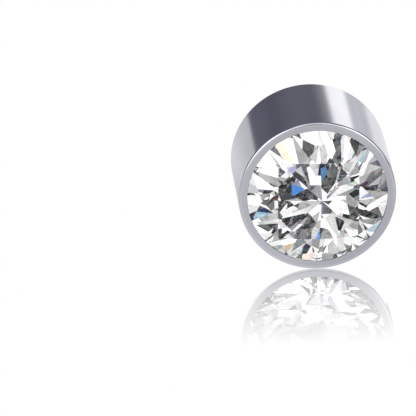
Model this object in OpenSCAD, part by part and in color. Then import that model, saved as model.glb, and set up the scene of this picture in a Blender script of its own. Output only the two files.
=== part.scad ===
// Magnetic stud earring: a round brilliant stone held by the turned-in rim of a
// plain steel cup, a disc magnet set in the back of the cup, and the loose disc
// magnet that grips it from behind the ear lobe, snapped on as for storage.
// The stud lies on its side. The stone faces -Y, +Z is up, and the origin is the
// middle of the cup's back face, where the ear lobe sits when it is worn.

/* [Cup] */
// Outside diameter of the cup
cup_d = 8.0; // [7.9:0.05:8.2]
// Length of the cup from its back face to the front of the rim
cup_h = 5.44; // [5.4:0.02:7]
// Diameter of the opening that the stone shows through
window_d = 7.12; // [7.04:0.02:7.2]
// Rounding of the cup's outer edges
edge_r = 0.12; // [0.05:0.01:0.2]
// Chamfer of the rim where it meets the stone
rim_chamfer = 0.05; // [0.02:0.01:0.06]
// Depth of the stone's girdle below the front of the rim
set_depth = 0.22; // [0.21:0.01:0.4]
// Width of the bearing that the stone sits on
bearing_w = 0.55; // [0.3:0.05:0.9]
// Free depth under the point of the stone
point_room = 0.16; // [0.1:0.01:0.2]

/* [Stone] */
// Girdle diameter of the stone
stone_d = 7.3; // [7.26:0.01:7.32]
// Table width from corner to corner, as a share of the girdle diameter
table_share = 0.61; // [0.5:0.01:0.66]
// Slope of the eight crown mains, in degrees
crown_angle = 32; // [30:0.5:34]
// Slope of the eight pavilion mains, in degrees
pavilion_angle = 41; // [39:0.5:41.5]
// Girdle thickness at its thick places, as a share of the diameter
girdle_share = 0.03; // [0.02:0.005:0.035]
// How far the star facets reach from the table towards the girdle
star_reach = 0.5; // [0.4:0.05:0.6]
// How far the lower halves reach from the girdle towards the point
lower_half_reach = 0.77; // [0.7:0.01:0.85]

/* [Magnets] */
// Diameter of both magnets
magnet_d = 6.0; // [5:0.1:6.2]
// Thickness of the magnet in the cup
cup_magnet_t = 1.2; // [0.8:0.05:1.2]
// Thickness of the loose magnet behind the lobe
back_magnet_t = 2.0; // [1:0.1:2]
// Rounding of the magnets' edges
magnet_edge_r = 0.15; // [0.05:0.01:0.3]

/* [Fit] */
// Gap between neighbouring pieces
gap = 0.03; // [0.02:0.005:0.04]

/* [Hidden] */
$fn = 96;

cup_r = cup_d / 2;
window_r = window_d / 2;
stone_r = stone_d / 2;
magnet_r = magnet_d / 2;

// The facets come in eightfold tiers, each with its main facet at the middle of
// an eighth turn and its feet on every second of four girdle points
tier = 8;
step = 360 / tier;
half_step = step / 2;
foot_step = step / 4;
girdle_points = 4 * tier;

// Heights in the stone, measured from the top of its girdle
girdle_floor_z = -girdle_share * stone_d;
table_corner_r = table_share * stone_r;
table_edge_r = table_corner_r * cos(half_step);
table_z = (stone_r - table_corner_r) * tan(crown_angle);
point_z = girdle_floor_z - stone_r * tan(pavilion_angle);

// Where the star facets end, on the ridge between two crown mains
star_tip_r = table_edge_r + star_reach * (stone_r - table_edge_r);
star_tip_z = (stone_r - star_tip_r * cos(half_step)) * tan(crown_angle);

// Where the lower halves end, on the ridge between two pavilion mains
half_tip_r = (1 - lower_half_reach) * stone_r;
half_tip_drop = (stone_r - half_tip_r * cos(half_step)) * tan(pavilion_angle);

// The halves' slopes, down which they run out to the round girdle between feet
chord_r = stone_r * cos(foot_step);
upper_half_slope = star_tip_z / (chord_r - star_tip_r * cos(foot_step));
lower_half_slope = half_tip_drop / (chord_r - half_tip_r * cos(foot_step));
girdle_bulge = stone_r - chord_r;

// Heights in the cup, measured from its back face. The rim's inner side slopes
// like the steepest crown facets that it is turned in over
lip_slope = 40;
girdle_z = cup_h - set_depth;
girdle_bore_r = stone_r + gap;
lip_root_z = girdle_z + gap;
lip_edge_z = lip_root_z + (girdle_bore_r - window_r) * tan(lip_slope);
bearing_top_z = girdle_z + girdle_floor_z - gap;
bearing_low_z = bearing_top_z - bearing_w * tan(pavilion_angle);
well_r = girdle_bore_r - bearing_w;
well_floor_z = girdle_z + point_z - point_room;

// The cup's magnet lies flush with its back face, in a pocket with a gap all round
magnet_pocket_r = magnet_r + gap;
magnet_pocket_depth = cup_magnet_t + gap;

// Length by which a cutter passes the surface that it cuts through
past = 1;

// A point on a circle about the axis, at a compass angle and a height
function at(r, angle, z) = [r * cos(angle), r * sin(angle), z];

// The compass angle of a tier's main facet
function main_angle(k) = half_step + k * step;

// 1 at the girdle points between feet, where the girdle is at its thinnest
function between_feet(i) = i % 2;

// The stone's points, ring by ring from the table to the point
stone_points = concat(
    [for (k = [0:tier - 1]) at(table_corner_r, main_angle(k), table_z)],
    [for (k = [0:tier - 1]) at(star_tip_r, main_angle(k) + half_step, star_tip_z)],
    [for (i = [0:girdle_points - 1])
        at(stone_r, half_step + i * foot_step, -between_feet(i) * girdle_bulge * upper_half_slope)],
    [for (i = [0:girdle_points - 1])
        at(stone_r, half_step + i * foot_step,
           girdle_floor_z + between_feet(i) * girdle_bulge * lower_half_slope)],
    [for (k = [0:tier - 1])
        at(half_tip_r, main_angle(k) + half_step, girdle_floor_z - half_tip_drop)],
    [[0, 0, point_z]]
);

// A point's place in that list, by its ring. A tier before the first is the last
function corner(k) = k % tier;
function star_tip(k) = tier + (k + tier) % tier;
function upper(i) = 2 * tier + (i + girdle_points) % girdle_points;
function lower(i) = girdle_points + upper(i);
function half_tip(k) = 2 * tier + 2 * girdle_points + (k + tier) % tier;
point = 3 * tier + 2 * girdle_points;

// The facets' corners, which run clockwise as seen from outside the stone
table = [for (k = [tier - 1:-1:0]) corner(k)];
stars = [for (k = [0:tier - 1]) [corner(k), corner(k + 1), star_tip(k)]];
crown_mains = [for (k = [0:tier - 1]) [corner(k), star_tip(k), upper(4 * k), star_tip(k - 1)]];
upper_halves = [for (k = [0:tier - 1], foot = [4 * k, 4 * k + 2])
    [star_tip(foot > 4 * k ? k : k - 1), upper(foot), upper(foot - 1), upper(foot - 2)]];
girdle = [for (i = [0:girdle_points - 1]) [upper(i), upper(i + 1), lower(i + 1), lower(i)]];
lower_halves = [for (k = [0:tier - 1], foot = [4 * k, 4 * k + 2])
    [half_tip(foot > 4 * k ? k : k - 1), lower(foot - 2), lower(foot - 1), lower(foot)]];
pavilion_mains = [for (k = [0:tier - 1]) [point, half_tip(k - 1), lower(4 * k), half_tip(k)]];

// Round brilliant with a table, 32 crown facets and 24 pavilion facets, its
// girdle's top at height 0 and its table upwards
module brilliant() {
    polyhedron(
        points = stone_points,
        faces = concat([table], stars, crown_mains, upper_halves, girdle, lower_halves, pavilion_mains)
    );
}

// Half of the outline of a turned disc whose outer corners are rounded
module disc_outline(r, h, corner_r) {
    square([r - corner_r, h]);
    translate([0, corner_r])
        square([r, h - 2 * corner_r]);
    for (z = [corner_r, h - corner_r])
        translate([r - corner_r, z])
            circle(corner_r);
}

// Half of the outline of what is bored out of the cup's front: the window under
// the turned-in rim, the bearing under the girdle and the well for the point
module well_outline() {
    polygon([
        [0, well_floor_z],
        [well_r, well_floor_z],
        [well_r, bearing_low_z],
        [girdle_bore_r, bearing_top_z],
        [girdle_bore_r, lip_root_z],
        [window_r, lip_edge_z],
        [window_r, cup_h - rim_chamfer],
        [window_r + rim_chamfer + past, cup_h + past],
        [0, cup_h + past]
    ]);
}

// Turned parts are drawn upright on the cup's back face and laid on their side,
// which takes their front to -Y
module lay_on_side() {
    rotate([90, 0, 0])
        children();
}

module cup() {
    color([0.72, 0.73, 0.77])
        lay_on_side()
            difference() {
                rotate_extrude()
                    disc_outline(cup_r, cup_h, edge_r);
                rotate_extrude()
                    well_outline();
                translate([0, 0, -past])
                    cylinder(r = magnet_pocket_r, h = magnet_pocket_depth + past);
            }
}

module stone() {
    color([0.93, 0.95, 0.98])
        lay_on_side()
            translate([0, 0, girdle_z])
                brilliant();
}

module cup_magnet() {
    color([0.78, 0.78, 0.80])
        lay_on_side()
            rotate_extrude()
                disc_outline(magnet_r, cup_magnet_t, magnet_edge_r);
}

module back_magnet() {
    color([0.78, 0.78, 0.80])
        lay_on_side()
            translate([0, 0, -gap - back_magnet_t])
                rotate_extrude()
                    disc_outline(magnet_r, back_magnet_t, magnet_edge_r);
}

cup();
stone();
cup_magnet();
back_magnet();
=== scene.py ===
"""The looks of a magnetic stud earring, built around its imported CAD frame.

The stud lies on its side with its stone facing -Y. The Y axis is the axis that
everything on it is turned about, and the origin is the middle of the cup's back.
"""

import logging
import math
import random
from dataclasses import dataclass
from enum import Enum

import bpy
from mathutils import Matrix, Quaternion, Vector


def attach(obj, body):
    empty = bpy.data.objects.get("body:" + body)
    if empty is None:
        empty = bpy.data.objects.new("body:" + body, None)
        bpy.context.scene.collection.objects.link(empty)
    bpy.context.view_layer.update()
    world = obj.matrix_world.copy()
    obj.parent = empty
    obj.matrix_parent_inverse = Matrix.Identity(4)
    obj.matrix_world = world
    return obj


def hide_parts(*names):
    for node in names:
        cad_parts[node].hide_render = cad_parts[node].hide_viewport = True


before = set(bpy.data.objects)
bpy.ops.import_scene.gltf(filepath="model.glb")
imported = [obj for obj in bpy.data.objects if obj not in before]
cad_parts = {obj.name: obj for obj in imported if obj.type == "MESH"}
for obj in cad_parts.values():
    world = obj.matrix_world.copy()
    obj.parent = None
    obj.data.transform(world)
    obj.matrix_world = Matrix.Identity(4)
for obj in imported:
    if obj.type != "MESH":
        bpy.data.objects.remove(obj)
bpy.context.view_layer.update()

log = logging.getLogger("stud")

Node = bpy.types.Node
Socket = bpy.types.NodeSocket
Triple = tuple[float, float, float]
Colour = Triple
Span = tuple[float, float]
Feeds = dict[int | str, object]

MM = 0.001
BODY = "root"

# Edges that meet more sharply than this stay crisp
CREASE = math.radians(32)
# Points closer than this are one point
WELD = 2e-7
# The smallest distance that a cutting plane tells apart
CUT = 1e-9
# How near a face or an edge has to be to the place that it is looked for at
NEAR = 0.004 * MM
# Width of the narrow strip kept beside a rounded edge, which holds the flat face flat
STRIP = 0.02 * MM
# A face looks along the axis where its normal's share along it is more than this
ALONG_AXIS = 0.9
# How much finer unevenness is laid over a coarse, a medium and a fine noise
COARSE = 1.0
MEDIUM = 2.0
FINE = 3.0
# A count of bounces over this is one bounce or more
ONE_BOUNCE = 0.5
# How often light may bounce on its way through the stone
BOUNCES = 32
# The profile of a bevel that is an arc of a circle
ROUND = 0.5
WHITE = (1, 1, 1, 1)
# The cone of directions that the cup's wall mirrors to the camera
CONE_DEPTH = 0.92
CONE_RADIUS = 0.392
# Height in degrees of the panels that the wall mirrors
WALL_PANEL_HEIGHT = 26


class Slot(Enum):
    """The record's material slots."""

    STEEL = "polished_steel"
    STONE = "clear_stone"
    NICKEL = "nickel_plate"


class Bench:
    """A piece on the bench: a turned blank that is shaped in edit mode."""

    def __init__(self, name: str, radius: float, front: float, back: float, sides: int) -> None:
        """Turns a solid blank about the Y axis.

        Args:
            name: The piece's name.
            radius: The blank's radius.
            front: The Y of its front face.
            back: The Y of its back face.
            sides: How many flats its round side is made of.
        """
        bpy.ops.object.select_all(action="DESELECT")
        bpy.ops.mesh.primitive_cylinder_add(
            vertices=sides,
            radius=radius,
            depth=back - front,
            end_fill_type="NGON",
            location=(0, (front + back) / 2, 0),
            rotation=(math.pi / 2, 0, 0),
        )
        self.piece = bpy.context.object
        self.piece.name = name
        self.piece.data.name = name
        bpy.ops.object.transform_apply(location=True, rotation=True, scale=True)
        bpy.ops.object.mode_set(mode="EDIT")
        bpy.ops.mesh.select_mode(type="FACE")

    def pick_end(self, y: float) -> None:
        """Selects the flat end that lies at a place on the axis.

        Args:
            y: The end's place along the axis.
        """
        bpy.ops.mesh.select_mode(type="FACE")
        bpy.ops.mesh.select_all(action="DESELECT")
        bpy.ops.object.mode_set(mode="OBJECT")
        for face in self.piece.data.polygons:
            face.select = abs(face.center.y - y) < NEAR and abs(face.normal.y) > ALONG_AXIS
        bpy.ops.object.mode_set(mode="EDIT")

    def pick_rim(self, y: float, radius: float) -> None:
        """Selects the ring of edges at a place on the axis and a radius.

        Args:
            y: The ring's place along the axis.
            radius: The ring's radius.
        """
        bpy.ops.mesh.select_mode(type="EDGE")
        bpy.ops.mesh.select_all(action="DESELECT")
        bpy.ops.object.mode_set(mode="OBJECT")
        mesh = self.piece.data
        for edge in mesh.edges:
            ends = [mesh.vertices[v].co for v in edge.vertices]
            edge.select = all(
                abs(end.y - y) < NEAR and abs(math.hypot(end.x, end.z) - radius) < NEAR
                for end in ends
            )
        bpy.ops.object.mode_set(mode="EDIT")

    def inset(self, width: float) -> None:
        """Insets the selected end by a width."""
        bpy.ops.mesh.inset(thickness=width, depth=0)

    def bore(self, depth: float, radius_from: float, radius_to: float) -> None:
        """Pushes the selected end along the axis, and widens or narrows it.

        Args:
            depth: How far it goes along Y, which is negative towards the front.
            radius_from: Its radius before.
            radius_to: Its radius after.
        """
        bpy.ops.mesh.extrude_region_move(TRANSFORM_OT_translate={"value": (0, depth, 0)})
        share = radius_to / radius_from
        bpy.ops.transform.resize(value=(share, 1, share), center_override=(0, 0, 0))

    def strip_at(self, y: float) -> None:
        """Cuts a ring of edges round the piece at a place on the axis."""
        bpy.ops.mesh.select_all(action="SELECT")
        bpy.ops.mesh.bisect(plane_co=(0, y, 0), plane_no=(0, 1, 0), threshold=CUT)

    def round_rim(self, y: float, radius: float, rounding: float, steps: int) -> None:
        """Rounds the edge at a place on the axis and a radius, in so many flat steps."""
        self.pick_rim(y, radius)
        bpy.ops.mesh.bevel(offset=rounding, segments=steps, profile=ROUND, affect="EDGES")

    def slice_off(self, point: Vector, normal: Vector) -> None:
        """Grinds away what lies past a plane, the way its normal points, and closes the flat."""
        bpy.ops.mesh.select_all(action="SELECT")
        bpy.ops.mesh.bisect(
            plane_co=point,
            plane_no=normal,
            use_fill=True,
            clear_outer=True,
            threshold=CUT,
        )

    def done(self, smooth: bool) -> bpy.types.Object:
        """Welds the piece's points, points its faces outwards and shades it.

        Args:
            smooth: True for round surfaces, False for flat facets.

        Returns:
            The finished piece.
        """
        bpy.ops.mesh.select_mode(type="VERT")
        bpy.ops.mesh.select_all(action="SELECT")
        bpy.ops.mesh.remove_doubles(threshold=WELD)
        bpy.ops.mesh.normals_make_consistent(inside=False)
        bpy.ops.mesh.select_all(action="DESELECT")
        bpy.ops.mesh.select_non_manifold()
        bpy.ops.object.mode_set(mode="OBJECT")
        open_points = sum(v.select for v in self.piece.data.vertices)
        if open_points:
            log.warning("%s has %d open points", self.piece.name, open_points)
        if smooth:
            bpy.ops.object.shade_smooth_by_angle(angle=CREASE)
        else:
            bpy.ops.object.shade_flat()
        return self.piece


class Graph:
    """A material's or a world's nodes, added one by one and joined."""

    def __init__(self, tree: bpy.types.NodeTree) -> None:
        """Starts an empty graph in a node tree."""
        self.tree = tree
        self.tree.nodes.clear()

    def add(self, kind: str, feeds: Feeds | None = None, /, **settings: object) -> Node:
        """Adds a node.

        Args:
            kind: The node's type.
            feeds: What its inputs get, by their number or their name: another node's
                output, or else a plain number, vector or colour.
            settings: What is set on the node itself, by attribute.

        Returns:
            The node.
        """
        node = self.tree.nodes.new(kind)
        for key, value in settings.items():
            setattr(node, key, value)
        for key, value in (feeds or {}).items():
            if isinstance(value, Socket):
                self.tree.links.new(value, node.inputs[key])
            else:
                node.inputs[key].default_value = value
        return node

    def maths(self, operation: str, *values: object) -> Socket:
        """Does sums on numbers."""
        return self.add("ShaderNodeMath", dict(enumerate(values)), operation=operation).outputs[0]

    def part_along(self, look: Socket, axis: Vector) -> Socket:
        """Gives how far a direction goes along an axis."""
        feeds = {0: look, 1: tuple(axis)}
        return self.add("ShaderNodeVectorMath", feeds, operation="DOT_PRODUCT").outputs["Value"]

    def remap(
        self,
        value: Socket,
        low: float,
        high: float,
        to_low: float,
        to_high: float,
        smooth: bool = False,
    ) -> Socket:
        """Moves a number from one range to another and keeps it in there.

        Args:
            value: The number.
            low: Where the first range starts.
            high: Where the first range ends.
            to_low: Where the second range starts.
            to_high: Where the second range ends.
            smooth: True to ease in and out at the ends.

        Returns:
            The result's socket.
        """
        kind = "SMOOTHSTEP" if smooth else "LINEAR"
        feeds = dict(enumerate((value, low, high, to_low, to_high)))
        node = self.add("ShaderNodeMapRange", feeds, interpolation_type=kind, clamp=True)
        return node.outputs[0]

    def blend(self, share: object, first: object, second: object) -> Socket:
        """Mixes two colours, the second one by a share from 0 to 1."""
        feeds = {"Factor": share, "A": first, "B": second}
        return self.add("ShaderNodeMix", feeds, data_type="RGBA").outputs["Result"]

    def noise(self, place: object, scale: float, detail: float = MEDIUM) -> Socket:
        """Makes an uneven cloud of values from 0 to 1, with so many lumps to the metre."""
        feeds = {"Vector": place, "Scale": scale, "Detail": detail}
        return self.add("ShaderNodeTexNoise", feeds).outputs["Fac"]

    def split(self, place: Socket) -> list[Socket]:
        """Splits a place into its X, Y and Z."""
        return list(self.add("ShaderNodeSeparateXYZ", {0: place}).outputs)

    def off_middle(self, across: object, up: object) -> Socket:
        """Gives how far a place is from the middle, by how far it is across and up."""
        squares = [self.maths("MULTIPLY", side, side) for side in (across, up)]
        return self.maths("SQRT", self.maths("ADD", *squares))

    def refract(self, colour: object, bending: float) -> Socket:
        """Makes the shader that bends light and lets one colour of it through."""
        feeds = {"Color": colour, "Roughness": 0.0, "IOR": bending}
        return self.add("ShaderNodeBsdfRefraction", feeds).outputs[0]

    def mirror(self, colour: object, roughness: float) -> Socket:
        """Makes the shader that mirrors light."""
        feeds = {"Color": colour, "Roughness": roughness}
        return self.add("ShaderNodeBsdfGlossy", feeds).outputs[0]

    def mix_shaders(self, share: object, first: object, second: object) -> Socket:
        """Mixes two shaders, the second one by a share from 0 to 1."""
        return self.add("ShaderNodeMixShader", {0: share, 1: first, 2: second}).outputs[0]

    def show(self, surface: Socket, output: str = "ShaderNodeOutputMaterial") -> None:
        """Joins the finished shader to an output node."""
        self.add(output, {"Surface": surface})


def new_material(name: str) -> tuple[bpy.types.Material, Graph, Socket]:
    """Makes a material with an empty graph.

    Args:
        name: The material's name.

    Returns:
        The material, its graph, and the place on the piece as a socket.
    """
    material = bpy.data.materials.new(name)
    material.use_nodes = True
    graph = Graph(material.node_tree)
    return material, graph, graph.add("ShaderNodeTexCoord").outputs["Object"]


@dataclass(frozen=True)
class TurnedMetal:
    """Metal with the fine marks that turning and polishing leave round its axis."""

    name: str
    colour: Colour
    cloud: Colour
    roughness: float
    smear: float
    mark_pitch: float
    mark_height: float
    scratches: float
    ripple: float
    edge_radius: float
    edge_y: float
    edge_reach: float = 0.22 * MM
    # The share of the reach, from the edge, over which the painted highlight is full
    edge_highlight_full: float = 1 / 3
    # How much the painted highlight on the outer edge brightens the colour
    edge_highlight_gain: float = 1.12
    cloud_smear: float = 0.6
    least_roughness: float = 0.03
    faintest_mark: float = 0.2
    hairline_width: float = 0.02
    hairline_turn: Triple = (0.4, 0.9, 0.2)
    hairline_stretch: Triple = (1.0, 0.16, 0.35)
    # How many lumps, lanes or hairlines there are in a metre
    smudge_scale: float = 420.0
    lane_scale: float = 9000.0
    streak_scale: float = 260.0
    ripple_scale: float = 1300.0
    hairline_scale: float = 900.0
    patch_scale: float = 600.0
    # The values of a noise between which its marks go from none to full
    smudge_range: Span = (0.35, 0.7)
    smear_range: Span = (0.3, 0.75)
    mark_range: Span = (0.25, 0.75)
    patch_range: Span = (0.52, 0.62)

    def make(self) -> bpy.types.Material:
        """Builds the material.

        Returns:
            The material.
        """
        material, graph, place = new_material(self.name)
        x, y, z = graph.split(place)
        radius = graph.off_middle(x, z)
        lanes = graph.maths("ADD", radius, y)
        streaks = graph.noise(self.stretched(graph, lanes, x, z), 1.0, FINE)
        smudges = graph.noise(place, self.smudge_scale, FINE)
        tone = graph.remap(smudges, *self.smudge_range, 0.0, 1.0, smooth=True)
        # A painted highlight brightens the colour along the outer rounded edge
        rim_highlight = self.painted_rim_highlight(graph, radius, y)
        feeds = {
            "Strength": 1.0,
            "Distance": self.mark_height,
            "Height": self.relief(graph, place, lanes, streaks),
        }
        bump = graph.add("ShaderNodeBump", feeds)
        feeds = {
            "Metallic": 1.0,
            "Base Color": self.highlighted_colour(graph, tone, rim_highlight),
            "Roughness": self.uneven_roughness(graph, tone, streaks),
            "Normal": bump.outputs["Normal"],
        }
        graph.show(graph.add("ShaderNodeBsdfPrincipled", feeds).outputs["BSDF"])
        return material

    def stretched(self, graph: Graph, lanes: Socket, x: Socket, z: Socket) -> Socket:
        """Gives a place that changes fast across the polishing lanes and slowly along them.

        Args:
            graph: The material's graph.
            lanes: The distance across the lanes.
            x: The place across.
            z: The height.

        Returns:
            The place's socket.
        """
        scales = (self.lane_scale, self.streak_scale, self.streak_scale)
        sides = zip((lanes, x, z), scales)
        feeds = {i: graph.maths("MULTIPLY", *side) for i, side in enumerate(sides)}
        return graph.add("ShaderNodeCombineXYZ", feeds).outputs[0]

    def painted_rim_highlight(self, graph: Graph, radius: Socket, y: Socket) -> Socket:
        """Finds the outer edge, where a painted highlight brightens the colour.

        Args:
            graph: The material's graph.
            radius: The distance from the axis.
            y: The place along the axis.

        Returns:
            How much of the painted highlight a place gets, from 0 to 1.
        """
        full = self.edge_reach * self.edge_highlight_full
        near_rim = graph.remap(
            radius, self.edge_radius - self.edge_reach, self.edge_radius - full, 0.0, 1.0
        )
        from_end = graph.maths("ABSOLUTE", graph.maths("SUBTRACT", y, self.edge_y))
        near_end = graph.remap(from_end, full, self.edge_reach, 1.0, 0.0)
        return graph.maths("MULTIPLY", near_rim, near_end)

    def highlighted_colour(self, graph: Graph, tone: Socket, rim_highlight: Socket) -> Socket:
        """Clouds the colour where it is smudged and brightens it along the outer edge as a painted
        highlight.

        Args:
            graph: The material's graph.
            tone: How smudged a place is, from 0 to 1.
            rim_highlight: How much of the painted highlight it gets, from 0 to 1.

        Returns:
            The colour's socket.
        """
        bright = tuple(min(1.0, part * self.edge_highlight_gain) for part in self.colour)
        clouded = graph.blend(tone, (*self.colour, 1), (*self.cloud, 1))
        return graph.blend(rim_highlight, clouded, (*bright, 1))

    def uneven_roughness(self, graph: Graph, tone: Socket, streaks: Socket) -> Socket:
        """Makes the metal duller or brighter in streaks, and duller in smudges.

        Args:
            graph: The material's graph.
            tone: How smudged a place is, from 0 to 1.
            streaks: The streaks' noise.

        Returns:
            The roughness's socket.
        """
        smeared = graph.remap(streaks, *self.smear_range, -self.smear, self.smear)
        rough = graph.maths("ADD", self.roughness, smeared)
        smudged = graph.maths("MULTIPLY", tone, self.smear * self.cloud_smear)
        return graph.maths("MAXIMUM", graph.maths("ADD", rough, smudged), self.least_roughness)

    def relief(self, graph: Graph, place: Socket, lanes: Socket, streaks: Socket) -> Socket:
        """Lays the turning marks, the hairlines and the plating's ripple over each other.

        Args:
            graph: The material's graph.
            place: The place on the piece.
            lanes: The distance across the polishing lanes.
            streaks: The streaks' noise.

        Returns:
            The height's socket.
        """
        turns = graph.maths("SINE", graph.maths("MULTIPLY", lanes, math.tau / self.mark_pitch))
        depth = graph.remap(streaks, *self.mark_range, self.faintest_mark, 1.0)
        marks = graph.maths("MULTIPLY", turns, depth)
        hairlines = graph.maths("MULTIPLY", self.hairlines(graph, place), self.scratches)
        waves = graph.noise(place, self.ripple_scale, COARSE)
        return graph.maths("MULTIPLY_ADD", waves, self.ripple, graph.maths("ADD", marks, hairlines))

    def hairlines(self, graph: Graph, place: Socket) -> Socket:
        """Draws sparse hairlines, as handling leaves.

        Args:
            graph: The material's graph.
            place: The place on the piece.

        Returns:
            Their depth, from -1 to 0.
        """
        feeds = {"Vector": place, "Rotation": self.hairline_turn, "Scale": self.hairline_stretch}
        tilted = graph.add("ShaderNodeMapping", feeds)
        feeds = {"Vector": tilted.outputs[0], "Scale": self.hairline_scale}
        cells = graph.add("ShaderNodeTexVoronoi", feeds, feature="DISTANCE_TO_EDGE")
        line = graph.remap(cells.outputs["Distance"], 0.0, self.hairline_width, -1.0, 0.0)
        patches = graph.remap(graph.noise(place, self.patch_scale), *self.patch_range, 0.0, 1.0)
        return graph.maths("MULTIPLY", line, patches)


@dataclass(frozen=True)
class CutStone:
    """A clear, brightly polished stone that bends light strongly and splits its colours."""

    name: str
    bending: float
    fire: float
    fire_share: float
    shine: float
    shine_roughness: float
    tint: Colour
    # How many clouds of the tint there are in a metre, and the noise's values for none and full
    veil_scale: float = 500.0
    veil_range: Span = (0.4, 0.7)

    def make(self) -> bpy.types.Material:
        """Builds the material.

        Returns:
            The material.
        """
        material, graph, place = new_material(self.name)
        veil = graph.remap(graph.noise(place, self.veil_scale), *self.veil_range, 0.0, 1.0)
        colour = graph.blend(veil, WHITE, (*self.tint, 1))
        share = graph.add("ShaderNodeFresnel", {"IOR": self.bending}).outputs[0]
        outside = graph.mix_shaders(
            graph.maths("MULTIPLY", share, self.shine),
            graph.refract(colour, self.bending),
            graph.mirror(colour, self.shine_roughness),
        )
        through = graph.mix_shaders(
            self.fire_share,
            graph.refract(WHITE, self.bending),
            self.split_colours(graph),
        )
        inside = graph.mix_shaders(share, through, graph.mirror(WHITE, 0.0))
        leaving = graph.add("ShaderNodeNewGeometry").outputs["Backfacing"]
        graph.show(graph.mix_shaders(leaving, outside, inside))
        return material

    def split_colours(self, graph: Graph) -> Socket:
        """Bends red least and blue most as light leaves the stone.

        Args:
            graph: The material's graph.

        Returns:
            The shader's socket.
        """
        total: Socket | None = None
        for step, colour in ((-1, (1, 0, 0, 1)), (0, (0, 1, 0, 1)), (1, (0, 0, 1, 1))):
            bent = graph.refract(colour, self.bending + step * self.fire / 2)
            if total is not None:
                bent = graph.add("ShaderNodeAddShader", {0: total, 1: bent}).outputs[0]
            total = bent
        return total


STEEL = TurnedMetal(
    name="polished_steel",
    colour=(0.585, 0.59, 0.625),
    cloud=(0.555, 0.56, 0.60),
    roughness=0.12,
    smear=0.03,
    mark_pitch=0.05 * MM,
    mark_height=0.00003 * MM,
    scratches=1.5,
    ripple=0.0,
    edge_radius=4.0 * MM,
    edge_y=-5.44 * MM,
)
NICKEL = TurnedMetal(
    name="nickel_plate",
    colour=(0.66, 0.64, 0.60),
    cloud=(0.56, 0.54, 0.51),
    roughness=0.17,
    smear=0.08,
    mark_pitch=0.09 * MM,
    mark_height=0.0001 * MM,
    scratches=6.0,
    ripple=14.0,
    edge_radius=3.0 * MM,
    edge_y=2.03 * MM,
)
STONE = CutStone(
    name="clear_stone",
    bending=2.3,
    fire=0.02,
    fire_share=0.12,
    shine=0.15,
    shine_roughness=0.02,
    tint=(0.985, 0.99, 1.0),
)


def hand_over(piece: bpy.types.Object, material: bpy.types.Material, node: str) -> None:
    """Dresses a finished piece, hangs it on the body, hides the CAD node that it stands for and
    logs it.

    Args:
        piece: The piece.
        material: What it is made of.
        node: The CAD node that it replaces.
    """
    piece.data.materials.clear()
    piece.data.materials.append(material)
    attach(piece, BODY)
    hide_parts(node)
    faces = len(piece.data.polygons)
    log.info("%s: %d faces, stands for %s", piece.name, faces, node)


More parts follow.
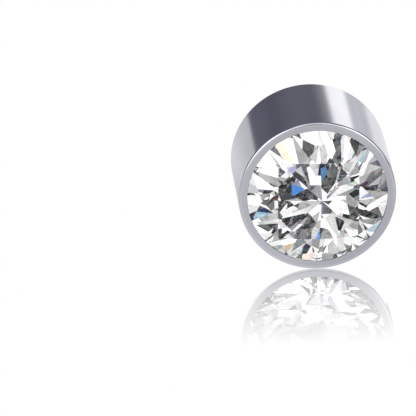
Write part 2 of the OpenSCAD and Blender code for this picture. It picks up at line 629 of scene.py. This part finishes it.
@dataclass
class Stone:
    """The round brilliant, ground facet by facet from a round blank."""

    radius: float = 3.65 * MM
    girdle_y: float = -5.22 * MM
    girdle: float = 0.219 * MM
    table_share: float = 0.61
    crown: float = math.radians(32)
    pavilion: float = math.radians(40)
    star_reach: float = 0.5
    lower_reach: float = 0.75
    point_drift: tuple[float, float] = (0.331 * MM, -0.696 * MM)
    tier: int = 8
    sides: int = 128

    def __post_init__(self) -> None:
        """Works out the rings of points that the facets run between."""
        self.half_step = math.pi / self.tier
        self.foot = self.half_step / 2
        self.chord = self.radius * math.cos(self.foot)
        self.table_corner = self.table_share * self.radius
        self.table_edge = self.table_corner * math.cos(self.half_step)
        self.table_h = (self.radius - self.table_corner) * math.tan(self.crown)
        self.point_h = -self.girdle - self.radius * math.tan(self.pavilion)
        self.star_r = self.table_edge + self.star_reach * (self.radius - self.table_edge)
        self.star_h = (self.radius - self.star_r * math.cos(self.half_step)) * math.tan(self.crown)
        self.half_r = (1 - self.lower_reach) * self.radius
        self.half_h = -self.girdle - (
            self.radius - self.half_r * math.cos(self.half_step)
        ) * math.tan(self.pavilion)

    def build(self) -> bpy.types.Object:
        """Grinds the crown and the pavilion, and leaves the blank's end as the table.

        Returns:
            The finished stone.
        """
        bench = Bench(
            "round_brilliant",
            self.radius,
            self.girdle_y - self.table_h,
            self.girdle_y - self.point_h,
            self.sides,
        )
        point = self.at(0.0, 0.0, self.point_h)
        for k in range(self.tier):
            main = self.half_step + k * 2 * self.half_step
            between = main + self.half_step
            corner = self.at(main, self.table_corner, self.table_h)
            self.grind(bench, main, self.radius, 0.0, corner)
            self.grind(bench, main, self.radius, -self.girdle, point)
            for side in (-1, 1):
                foot = main + side * self.foot
                ridge = main + side * self.half_step
                star_tip = self.at(ridge, self.star_r, self.star_h)
                half_tip = self.at(ridge, self.half_r, self.half_h)
                self.grind(bench, foot, self.chord, 0.0, star_tip)
                self.grind(bench, foot, self.chord, -self.girdle, half_tip)
            star_tip = self.at(between, self.star_r, self.star_h)
            self.grind(bench, between, self.table_edge, self.table_h, star_tip)
        piece = bench.done(smooth=False)
        hand_over(piece, STONE.make(), "stone")
        return piece

    def at(self, compass: float, radius: float, height: float) -> Vector:
        """Gives a point of the stone.

        Args:
            compass: Its direction round the axis.
            radius: Its distance from the axis.
            height: Its height over the girdle's top. Below the girdle the axis leans
                towards the stone's point, which is a little off the middle.

        Returns:
            The point.
        """
        lean = max(0.0, (height + self.girdle) / (self.point_h + self.girdle))
        drift_x, drift_z = self.point_drift
        return Vector(
            (
                radius * math.cos(compass) + lean * drift_x,
                self.girdle_y - height,
                radius * math.sin(compass) + lean * drift_z,
            )
        )

    def grind(
        self,
        bench: Bench,
        compass: float,
        radius: float,
        height: float,
        tip: Vector,
    ) -> None:
        """Grinds one facet, level along its edge and down to its tip.

        Args:
            bench: The stone on the bench.
            compass: The direction that the facet faces round the stone.
            radius: The distance of its edge from the axis.
            height: The height of its edge over the girdle's top.
            tip: The point that it runs to.
        """
        edge = self.at(compass, radius, height)
        level = Vector((-math.sin(compass), 0.0, math.cos(compass)))
        out = Vector((math.cos(compass), 0.0, math.sin(compass)))
        normal = level.cross(tip - edge).normalized()
        if normal.dot(out) < 0:
            normal.negate()
        bench.slice_off(edge, normal)


@dataclass
class Cup:
    """The steel cup: a turned cylinder whose rim is turned in over the stone.

    Its front is bored to fit the stone's girdle. The bearing under the girdle slopes
    like a cone that, carried on to its tip, would hold the whole of the stone.
    """

    gem: Stone
    radius: float = 4.0 * MM
    length: float = 5.44 * MM
    edge: float = 0.12 * MM
    edge_steps: int = 6
    sides: int = 256
    window: float = 3.56 * MM
    chamfer: float = 0.015 * MM
    lip_slope: float = math.radians(40)
    bearing_slope: float = math.radians(41)
    bearing_width: float = 0.55 * MM
    point_room: float = 0.16 * MM
    magnet_radius: float = 3.0 * MM
    magnet_thickness: float = 1.2 * MM
    gap: float = 0.03 * MM

    def build(self) -> None:
        """Turns the cup, bores it from both ends and rounds its edges."""
        bench = Bench("steel_cup", self.radius, -self.length, 0.0, self.sides)
        self.turn_rings(bench)
        self.bore_front_end(bench)
        self.bore_back_end(bench)
        self.round_edges(bench)
        hand_over(bench.done(smooth=True), STEEL.make(), "cup")

    def turn_rings(self, bench: Bench) -> None:
        """Cuts the rings that keep the wall straight between its rounded edges.

        Args:
            bench: The cup on the bench.
        """
        clear = self.edge + STRIP
        bench.strip_at(clear - self.length)
        bench.strip_at(-clear)

    def well_outline(self) -> tuple[tuple[float, float], ...]:
        """Works out what is bored out behind the rim.

        Returns:
            The Y and the radius of each corner, from the front to the well's floor.
        """
        bore = self.gem.radius + self.gap
        well = bore - self.bearing_width
        bore_front = self.gem.girdle_y - self.gap
        lip_back = bore_front - (bore - self.window) * math.tan(self.lip_slope)
        girdle_back = self.gem.girdle_y + self.gem.girdle
        bearing_front = girdle_back + self.gap
        bearing_back = bearing_front + self.bearing_width * math.tan(self.bearing_slope)
        point = girdle_back + self.gem.radius * math.tan(self.bearing_slope)
        return (
            (self.chamfer - self.length, self.window),
            (lip_back, self.window),
            (bore_front, bore),
            (bearing_front, bore),
            (bearing_back, well),
            (point + self.point_room, well),
        )

    def bore_front_end(self, bench: Bench) -> None:
        """Opens the window for the stone, its seat and the well behind it.

        Args:
            bench: The cup on the bench.
        """
        y, radius = -self.length, self.window + self.chamfer
        self.open_end(bench, y, radius)
        for to_y, to_radius in self.well_outline():
            bench.bore(to_y - y, radius, to_radius)
            y, radius = to_y, to_radius

    def bore_back_end(self, bench: Bench) -> None:
        """Sinks the pocket for the magnet.

        Args:
            bench: The cup on the bench.
        """
        pocket = self.magnet_radius + self.gap
        self.open_end(bench, 0.0, pocket)
        bench.bore(-self.magnet_thickness - self.gap, pocket, pocket)

    def open_end(self, bench: Bench, y: float, radius: float) -> None:
        """Marks a hole on a flat end, with narrow strips at its edge and the end's.

        Args:
            bench: The cup on the bench.
            y: The end's place along the axis.
            radius: The hole's radius.
        """
        bench.pick_end(y)
        bench.inset(self.edge + STRIP)
        bench.inset(self.radius - self.edge - STRIP - radius - STRIP)
        bench.inset(STRIP)

    def round_edges(self, bench: Bench) -> None:
        """Rounds the outer edges of both ends."""
        for y in (-self.length, 0.0):
            bench.round_rim(y, self.radius, self.edge, self.edge_steps)


@dataclass
class Magnet:
    """A disc magnet with rounded, plated edges."""

    name: str
    node: str
    front: float
    back: float
    radius: float = 3.0 * MM
    edge: float = 0.15 * MM
    edge_steps: int = 6
    sides: int = 192

    def build(self) -> None:
        """Turns the disc and rounds both of its edges."""
        bench = Bench(self.name, self.radius, self.front, self.back, self.sides)
        clear = self.edge + STRIP
        bench.strip_at(self.front + clear)
        bench.strip_at(self.back - clear)
        for y in (self.front, self.back):
            bench.pick_end(y)
            bench.inset(clear)
        for y in (self.front, self.back):
            bench.round_rim(y, self.radius, self.edge, self.edge_steps)
        hand_over(bench.done(smooth=True), NICKEL.make(), self.node)


@dataclass(frozen=True)
class Panel:
    """A soft light panel, given by the direction in which it is seen.

    Its width, its height and the feather of its edges are angles in degrees, and its
    roll about that direction is in radians.
    """

    towards: Triple
    width: float
    height: float
    feather: float
    light: Colour
    roll: float = 0.0
    # The least depth at which a direction counts as ahead and not beside
    least_depth: float = 0.02

    def add_to(self, graph: Graph, look: Socket, behind: object) -> Socket:
        """Lays the panel over what is behind it.

        Args:
            graph: The world's graph.
            look: The direction that is looked in.
            behind: The colour behind the panel.

        Returns:
            The colour with the panel in front.
        """
        ahead = Vector(self.towards).normalized()
        side = ahead.cross(Vector((0, 0, 1))).normalized()
        side.rotate(Quaternion(ahead, self.roll))
        up = side.cross(ahead)
        depth = graph.part_along(look, ahead)
        covered: object = graph.remap(depth, 0.0, self.least_depth, 0.0, 1.0)
        deep = graph.maths("MAXIMUM", depth, self.least_depth)
        soft = math.tan(math.radians(self.feather))
        for axis, size in ((side, self.width), (up, self.height)):
            reach = math.tan(math.radians(size) / 2)
            slant = graph.maths("DIVIDE", graph.part_along(look, axis), deep)
            off = graph.maths("ABSOLUTE", slant)
            inside = graph.remap(off, reach - soft, reach + soft, 1.0, 0.0, smooth=True)
            covered = graph.maths("MULTIPLY", covered, inside)
        return graph.blend(covered, behind, (*self.light, 1))


def wall_panel(around: float, width: float, feather: float, light: Colour) -> Panel:
    """Makes a tall panel that the cup's wall mirrors to the camera.

    All that the wall mirrors to it lies on a cone about the stud's axis.

    Args:
        around: The panel's place round the cone, in degrees from the top towards +X.
        width: Its width in degrees.
        feather: How soft its edges are, in degrees.
        light: Its light.

    Returns:
        The panel.
    """
    turn = math.radians(around)
    towards = (CONE_RADIUS * math.sin(turn), CONE_DEPTH, CONE_RADIUS * math.cos(turn))
    return Panel(towards, width, WALL_PANEL_HEIGHT, feather, light, roll=turn)


@dataclass(frozen=True)
class SlatRack:
    """Crossed rows of slats over the lights, each row finer and fainter than the last.

    The rows' directions and shifts are drawn at random. A row's wave turns by its
    pitch, in radians, between a direction beside the row's axis and one along it.
    """

    seed: int
    rows: int
    pitch: float
    strength: float
    finer: float = 1.4
    fainter: float = 0.9

    def add_to(self, graph: Graph, look: Socket, light: object) -> Socket:
        """Adds the rows' bright and dark bands to the light that comes from a direction.

        Args:
            graph: The world's graph.
            look: The direction that is looked in.
            light: The light so far.

        Returns:
            The light with the bands in it.
        """
        draw = random.Random(self.seed)
        for row in range(self.rows):
            up = draw.uniform(-1, 1)
            turn = draw.uniform(0, math.tau)
            shift = draw.uniform(0, math.tau)
            flat = math.sqrt(1 - up * up)
            across = Vector((flat * math.cos(turn), flat * math.sin(turn), up))
            phase = graph.part_along(look, self.pitch * self.finer**row * across)
            wave = graph.maths("SIGN", graph.maths("SINE", graph.maths("ADD", phase, shift)))
            light = graph.maths("MULTIPLY_ADD", wave, self.strength * self.fainter**row, light)
        return light


def bend_ray(ray: Vector, normal: Vector, ratio: float) -> Vector | None:
    """Bends a ray where it passes a surface.

    Args:
        ray: Its direction.
        normal: The surface's direction, against the ray.
        ratio: How strongly the side that it comes from bends light, over the other side.

    Returns:
        The bent ray, or nothing where all of it is mirrored.
    """
    facing = -ray.dot(normal)
    left = 1 - ratio**2 * (1 - facing**2)
    if left < 0:
        return None
    return ratio * ray + (ratio * facing - math.sqrt(left)) * normal


@dataclass(frozen=True)
class SightLines:
    """Lines of sight that go into the stone and come out of it in another direction."""

    stone: bpy.types.Object
    eye: Vector
    bending: float
    # How many facets a line is followed to
    turns: int = 8

    def way_out(self, spot: Vector) -> Vector:
        """Follows the line that passes a spot on the stone's face.

        Args:
            spot: The spot.

        Returns:
            The direction in which most of the line comes out of the stone.
        """
        ray = (spot - self.eye).normalized()
        place, normal = self.meet(self.eye, ray, entering=True)
        ray = bend_ray(ray, normal, 1 / self.bending)
        left, most, found = 1.0, 0.0, ray
        for _ in range(self.turns):
            place, normal = self.meet(place, ray, entering=False)
            out = bend_ray(ray, -normal, self.bending)
            kept = self.mirrored(ray, normal, out)
            if left * (1 - kept) > most:
                most, found = left * (1 - kept), out
            left *= kept
            ray = ray - 2 * ray.dot(normal) * normal
        return found

    def meet(self, start: Vector, ray: Vector, entering: bool) -> tuple[Vector, Vector]:
        """Finds where a ray meets the stone's surface.

        Args:
            start: Where it starts.
            ray: Its direction.
            entering: True for a ray that comes from outside, False for one from inside.

        Returns:
            The place, and the direction that the facet there faces.
        """
        found: tuple[float, Vector] | None = None
        for facet in self.stone.data.polygons:
            slope = facet.normal.dot(ray)
            if slope == 0 or (slope < 0) != entering:
                continue
            far = facet.normal.dot(facet.center - start) / slope
            if far > 0 and (found is None or (far > found[0]) == entering):
                found = (far, facet.normal.copy())
        return start + found[0] * ray, found[1]

    def mirrored(self, ray: Vector, normal: Vector, out: Vector | None) -> float:
        """Gives the share of a ray that a facet mirrors back into the stone.

        Args:
            ray: The ray's direction.
            normal: The direction that the facet faces.
            out: The part that is bent out of the stone, or nothing if there is none.

        Returns:
            The share, from 0 to 1.
        """
        if out is None:
            return 1.0
        within = abs(ray.dot(normal))
        beyond = abs(out.dot(normal))
        upright = (self.bending * within - beyond) / (self.bending * within + beyond)
        level = (self.bending * beyond - within) / (self.bending * beyond + within)
        return (upright**2 + level**2) / 2


@dataclass(frozen=True)
class Glint:
    """A small lamp or card that shows in the stone at a spot of its face.

    The spot is so many millimetres across and up from the middle, and the spread is
    the lamp's radius in degrees.
    """

    across: float
    up: float
    spread: float
    light: Colour

    def add_to(self, graph: Graph, look: Socket, behind: object, towards: Vector) -> Socket:
        """Puts the lamp in front of the lights behind it.

        Args:
            graph: The world's graph.
            look: The direction that is looked in.
            behind: The colour behind the lamp.
            towards: The direction that the lamp is seen in.

        Returns:
            The colour with the lamp in front.
        """
        depth = graph.part_along(look, towards)
        inside = graph.maths("GREATER_THAN", depth, math.cos(math.radians(self.spread)))
        return graph.blend(inside, behind, (*self.light, 1))


@dataclass(frozen=True)
class Ramp:
    """A value that goes evenly from one number to another along a line."""

    start: float
    end: float
    first: float
    last: float

    def value(self, graph: Graph, place: Socket) -> Socket:
        """Gives the value at a place on the line."""
        return graph.remap(place, self.start, self.end, self.first, self.last)


@dataclass(frozen=True)
class PaintedLightPatch:
    """A soft patch of painted light or painted shade in the table's glow, brighter or darker than
    the rest.

    How much it is so across the table is multiplied by a share along the stud's axis.
    """

    across: Ramp
    along: Ramp

    def value(self, graph: Graph, x: Socket, y: Socket) -> Socket:
        """Gives how much painted light it adds to the table's glow at a place, below 0 for painted
        shade.
        """
        return graph.maths("MULTIPLY", self.across.value(graph, x), self.along.value(graph, y))


EVEN = Ramp(0.0, 1.0, 1.0, 1.0)


@dataclass
class Studio:
    """A white table in a room lit by soft panels."""

    sight: SightLines
    floor_z: float = -4.0 * MM
    floor_half: float = 320.0 * MM
    touch: float = -5.44 * MM
    face_radius: float = 4.0 * MM
    # How far ahead and how far aside the table shows a spot, for each step of its height
    ahead_per_height: float = 2.383
    drift_per_height: float = 0.172
    mirror: float = 0.83
    mirror_reach: float = 9.3 * MM
    mirror_edge: float = 0.06 * MM
    table_tint: Colour = (0.975, 0.975, 1.01)
    # Painted light and painted shade in the table's glow: from side to side and ahead of the stud,
    # then what its wall and its rim mirror, with painted shade beside and behind the stud
    patches: tuple[PaintedLightPatch, ...] = (
        PaintedLightPatch(Ramp(-20 * MM, 30 * MM, -0.26, 0.1), EVEN),
        PaintedLightPatch(Ramp(22 * MM, 34 * MM, 0.0, -0.36), EVEN),
        PaintedLightPatch(EVEN, Ramp(-5 * MM, 0.0, 0.13, 0.0)),
        PaintedLightPatch(Ramp(-2 * MM, 3 * MM, -0.17, -0.34), Ramp(6 * MM, 11.5 * MM, 1.0, 0.0)),
        PaintedLightPatch(Ramp(3.5 * MM, 4.8 * MM, 0.0, -0.34), Ramp(6.5 * MM, 11.5 * MM, 1.0, 0.0)),
        PaintedLightPatch(Ramp(3.5 * MM, 4.8 * MM, 0.0, 0.25), Ramp(-4 * MM, 4 * MM, 1.0, 0.0)),
        PaintedLightPatch(Ramp(0.9 * MM, 3.4 * MM, -0.05, 0.12), Ramp(-15 * MM, -9 * MM, 1.0, 0.0)),
    )
    room: Colour = (0.16, 0.155, 0.20)
    # Those that the wall shows, those to both sides and above, and the one that the
    # rim shows in the table's gloss
    panels: tuple[Panel, ...] = (
        wall_panel(-50, 9, 3.0, (0.138, 0.133, 0.174)),
        wall_panel(-8.8, 13, 5.0, (0.182, 0.178, 0.224)),
        wall_panel(44.6, 16, 4.4, (0.36, 0.36, 0.38)),
        wall_panel(78.3, 11, 1.2, (0.72, 0.73, 0.78)),
        wall_panel(51.3, 11.6, 1.7, (1.44, 1.43, 1.44)),
        Panel((-0.62, -0.66, 0.38), 62, 56, 6, (1.7, 1.7, 1.7)),
        Panel((0.62, -0.66, 0.46), 52, 50, 6, (1.7, 1.7, 1.7)),
        Panel((0.0, -0.35, 0.95), 40, 40, 8, (1.1, 1.1, 1.12)),
        Panel((0.066, -0.92, 0.386), 28, 16, 5, (0.80, 0.80, 0.82)),
    )
    map_size: int = 256
    stone_light: float = 0.525
    stone_light_most: float = 1.34
    stone_light_least: float = 0.01
    racks: tuple[SlatRack, ...] = (
        SlatRack(seed=20441, rows=4, pitch=3.5, strength=0.42, finer=1.3),
        SlatRack(seed=3886, rows=2, pitch=4.0, strength=0.35),
        SlatRack(seed=9777, rows=2, pitch=5.0, strength=0.3),
        SlatRack(seed=23083, rows=2, pitch=7.0, strength=0.25),
        SlatRack(seed=18563, rows=2, pitch=9.0, strength=0.2),
        SlatRack(seed=22678, rows=3, pitch=12.0, strength=0.16, finer=1.3),
    )
    glints: tuple[Glint, ...] = (
        Glint(-0.82, 0.46, 2.4, (0.03, 0.27, 0.85)),
        Glint(0.34, 1.13, 2.3, (0.03, 0.17, 0.42)),
        Glint(-1.18, 1.56, 1.6, (0.47, 0.46, 0.74)),
        Glint(-2.89, -1.02, 2.2, (0.38, 0.60, 0.76)),
        Glint(-0.92, 0.68, 1.5, (0.33, 0.36, 0.56)),
        Glint(2.86, -1.80, 2.2, (0.52, 0.64, 0.74)),
        Glint(-1.79, 2.56, 2.2, (1.34, 1.10, 0.86)),
        Glint(-1.69, 2.50, 1.9, (1.34, 1.10, 0.86)),
        Glint(-1.41, -2.77, 1.7, (0.64, 0.52, 0.32)),
        Glint(-0.44, -3.40, 2.3, (1.08, 0.89, 0.82)),
    )

    def build(self) -> None:
        """Lays the table, and lights the room."""
        self.lay_table()
        self.light_room()

    def lay_table(self) -> None:
        """Makes the white table, whose gloss shows near the stud and fades away."""
        bpy.ops.object.select_all(action="DESELECT")
        bpy.ops.mesh.primitive_plane_add(size=2 * self.floor_half, location=(0, 0, self.floor_z))
        table = bpy.context.object
        table.name = "table_top"
        material, graph, place = new_material("white_table")
        x, y, _ = graph.split(place)
        seen = graph.add("ShaderNodeLightPath").outputs["Is Camera Ray"]
        # The glow that the stud mirrors carries the patches' painted light and painted shade; the
        # camera sees the table plain white
        feeds = {0: self.table_tint, "Scale": self.painted_table_glow(graph, x, y)}
        bright = graph.add("ShaderNodeVectorMath", feeds, operation="SCALE").outputs[0]
        glow = graph.add("ShaderNodeEmission", {"Color": graph.blend(seen, bright, WHITE)})
        share = self.gloss_share(graph, x, y, seen)
        graph.show(graph.mix_shaders(share, glow.outputs[0], graph.mirror(WHITE, 0.0)))
        table.data.materials.append(material)
        table.visible_transmission = False

    def gloss_share(self, graph: Graph, x: Socket, y: Socket, seen: Socket) -> Socket:
        """Gives how glossy the table is: most where the face touches it, none further out.

        Args:
            graph: The table's graph.
            x: The place across.
            y: The place along the stud's axis.
            seen: 1 where the camera looks, and 0 where the stud does.

        Returns:
            The share's socket.
        """
        ahead = graph.maths("SUBTRACT", self.touch, y)
        height = graph.maths("DIVIDE", ahead, self.ahead_per_height)
        middle = graph.maths("MULTIPLY_ADD", height, self.drift_per_height, x)
        up = graph.maths("SUBTRACT", height, self.face_radius)
        from_axis = graph.off_middle(middle, up)
        rim = self.face_radius
        inside = graph.remap(from_axis, rim, rim + self.mirror_edge, 1.0, 0.0)
        fading = graph.remap(ahead, 0.0, self.mirror_reach, self.mirror, 0.0)
        return graph.maths("MULTIPLY", graph.maths("MULTIPLY", inside, fading), seen)

    def painted_table_glow(self, graph: Graph, x: Socket, y: Socket) -> Socket:
        """Gives how bright the table glows where the stud mirrors it, with the patches' painted
        light and painted shade.

        Args:
            graph: The table's graph.
            x: The place across.
            y: The place along the stud's axis.

        Returns:
            The strength's socket.
        """
        light: object = 1.0
        for patch in self.patches:
            light = graph.maths("ADD", light, patch.value(graph, x, y))
        return light

    def stone_room(self, graph: Graph, look: Socket) -> Socket:
        """Builds the lights behind rows of slats that sparkle in the stone.

        Args:
            graph: The world's graph.
            look: The direction that is looked in.

        Returns:
            The colour's socket.
        """
        light: object = self.stone_light
        for rack in self.racks:
            light = rack.add_to(graph, look, light)
        light = graph.maths("MAXIMUM", light, self.stone_light_least)
        light = graph.maths("MINIMUM", light, self.stone_light_most)
        feeds = {0: light, 1: light, 2: light}
        colour = graph.add("ShaderNodeCombineColor", feeds).outputs[0]
        for glint in self.glints:
            spot = Vector((glint.across * MM, self.touch, glint.up * MM))
            colour = glint.add_to(graph, look, colour, self.sight.way_out(spot))
        return colour

    def light_room(self) -> None:
        """Builds the room: white to the camera and in the table, and panels to the stud."""
        world = bpy.data.worlds.new("studio_room")
        world.cycles.sampling_method = "MANUAL"
        world.cycles.sample_map_resolution = self.map_size
        bpy.context.scene.world = world
        world.use_nodes = True
        graph = Graph(world.node_tree)
        look = graph.add("ShaderNodeTexCoord").outputs["Generated"]
        room: object = (*self.room, 1)
        for panel in self.panels:
            room = panel.add_to(graph, look, room)
        inner = self.stone_room(graph, look)
        path = graph.add("ShaderNodeLightPath")
        through = graph.maths("GREATER_THAN", path.outputs["Transmission Depth"], ONE_BOUNCE)
        colour = graph.blend(through, room, inner)
        sharp, mirrored = path.outputs["Is Singular Ray"], path.outputs["Is Reflection Ray"]
        in_gloss = graph.maths("MULTIPLY", sharp, mirrored)
        in_gloss = graph.maths("MULTIPLY", in_gloss, graph.maths("SUBTRACT", 1.0, through))
        plain = graph.maths("MAXIMUM", path.outputs["Is Camera Ray"], in_gloss)
        shown = graph.blend(plain, colour, WHITE)
        background = graph.add("ShaderNodeBackground", {"Color": shown})
        graph.show(background.outputs[0], "ShaderNodeOutputWorld")


@dataclass
class PhotoCamera:
    """The camera, at the photograph's viewing angle."""

    aim: Triple = (-5.547 * MM, -5.267 * MM, -0.5415 * MM)
    back: Triple = (-0.0664, -0.9201, 0.3861)
    distance: float = 303.56 * MM
    lens: float = 519.23
    film: float = 36.0
    nearest: float = 10 * MM
    furthest: float = 2000 * MM

    def place(self) -> Vector:
        """Gives the camera's place."""
        return Vector(self.aim) + Vector(self.back).normalized() * self.distance

    def build(self) -> None:
        """Sets the camera up and makes it the scene's camera."""
        data = bpy.data.cameras.new("photo_camera")
        data.lens = self.lens
        data.sensor_width = self.film
        data.clip_start = self.nearest
        data.clip_end = self.furthest
        camera = bpy.data.objects.new("photo_camera", data)
        bpy.context.scene.collection.objects.link(camera)
        turn = Vector(self.back).to_track_quat("Z", "Y").to_matrix().to_4x4()
        camera.matrix_world = Matrix.Translation(self.place()) @ turn
        bpy.context.scene.camera = camera


def write_sizes() -> None:
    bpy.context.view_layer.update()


def main() -> None:
    """Builds the stud, the studio and the camera."""
    logging.basicConfig(level=logging.INFO, format="%(name)s: %(message)s")
    gem = Stone()
    Cup(gem).build()
    stone = gem.build()
    Magnet("cup_disc_magnet", "cup_magnet", front=-1.2 * MM, back=0.0).build()
    Magnet("lobe_disc_magnet", "back_magnet", front=0.03 * MM, back=2.03 * MM).build()
    camera = PhotoCamera()
    camera.build()
    Studio(SightLines(stone, camera.place(), STONE.bending)).build()
    scene = bpy.context.scene
    scene.view_settings.view_transform = "Standard"
    scene.cycles.max_bounces = BOUNCES
    scene.cycles.transmission_bounces = BOUNCES
    scene.cycles.glossy_bounces = BOUNCES
    write_sizes()


if __name__ == "__main__":
    main()
